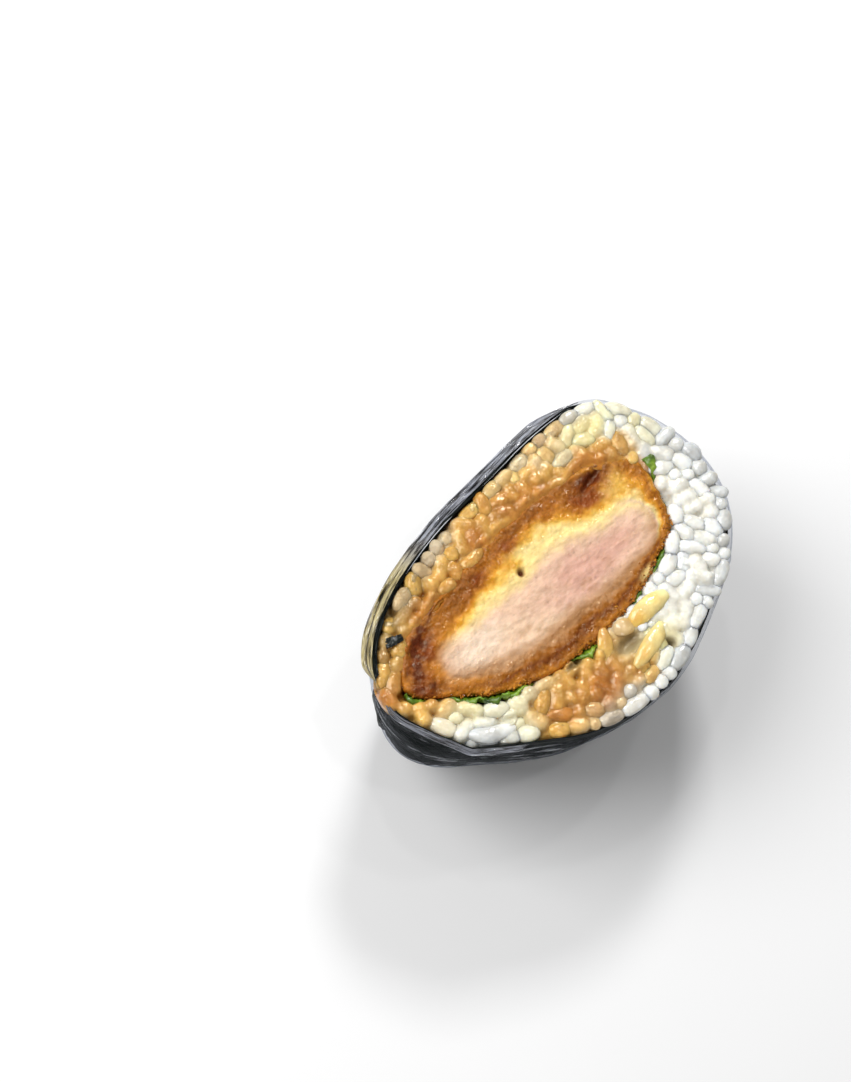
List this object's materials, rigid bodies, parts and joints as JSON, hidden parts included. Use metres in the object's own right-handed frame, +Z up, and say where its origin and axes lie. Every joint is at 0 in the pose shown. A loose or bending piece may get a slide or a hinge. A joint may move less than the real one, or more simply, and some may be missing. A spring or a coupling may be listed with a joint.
{
  "type": "onigirazu half",
  "caption": "Half of a rice sandwich with a breaded pork cutlet and a leaf, folded in nori and clear film, standing cut face up.",
  "frame": {"origin": "on the floor under the middle of the part's box", "axes": "+Z up, out of the cut face; +X along the cut face's longer side; the loose flap of film is on +Y and the leaf on the cutlet's -Y side"},
  "size_m": [0.0894, 0.0644, 0.0471],
  "materials": {
    "film": "clear thin wrapping film, glossy and creased",
    "nori": "dark pressed seaweed sheet, damp, wrinkled, with a dull sheen",
    "rice": "boiled short grains, white to amber where the sauce has soaked in, moist",
    "leaf": "crumpled green leaf, moist",
    "cutlet": "cut pork with a browned, sauce-soaked breading, moist"
  },
  "bodies": {
    "root": {"film": "film", "nori": "nori", "rice": "rice", "leaf": "leaf", "cutlet": "cutlet"}
  },
  "joints": []
}
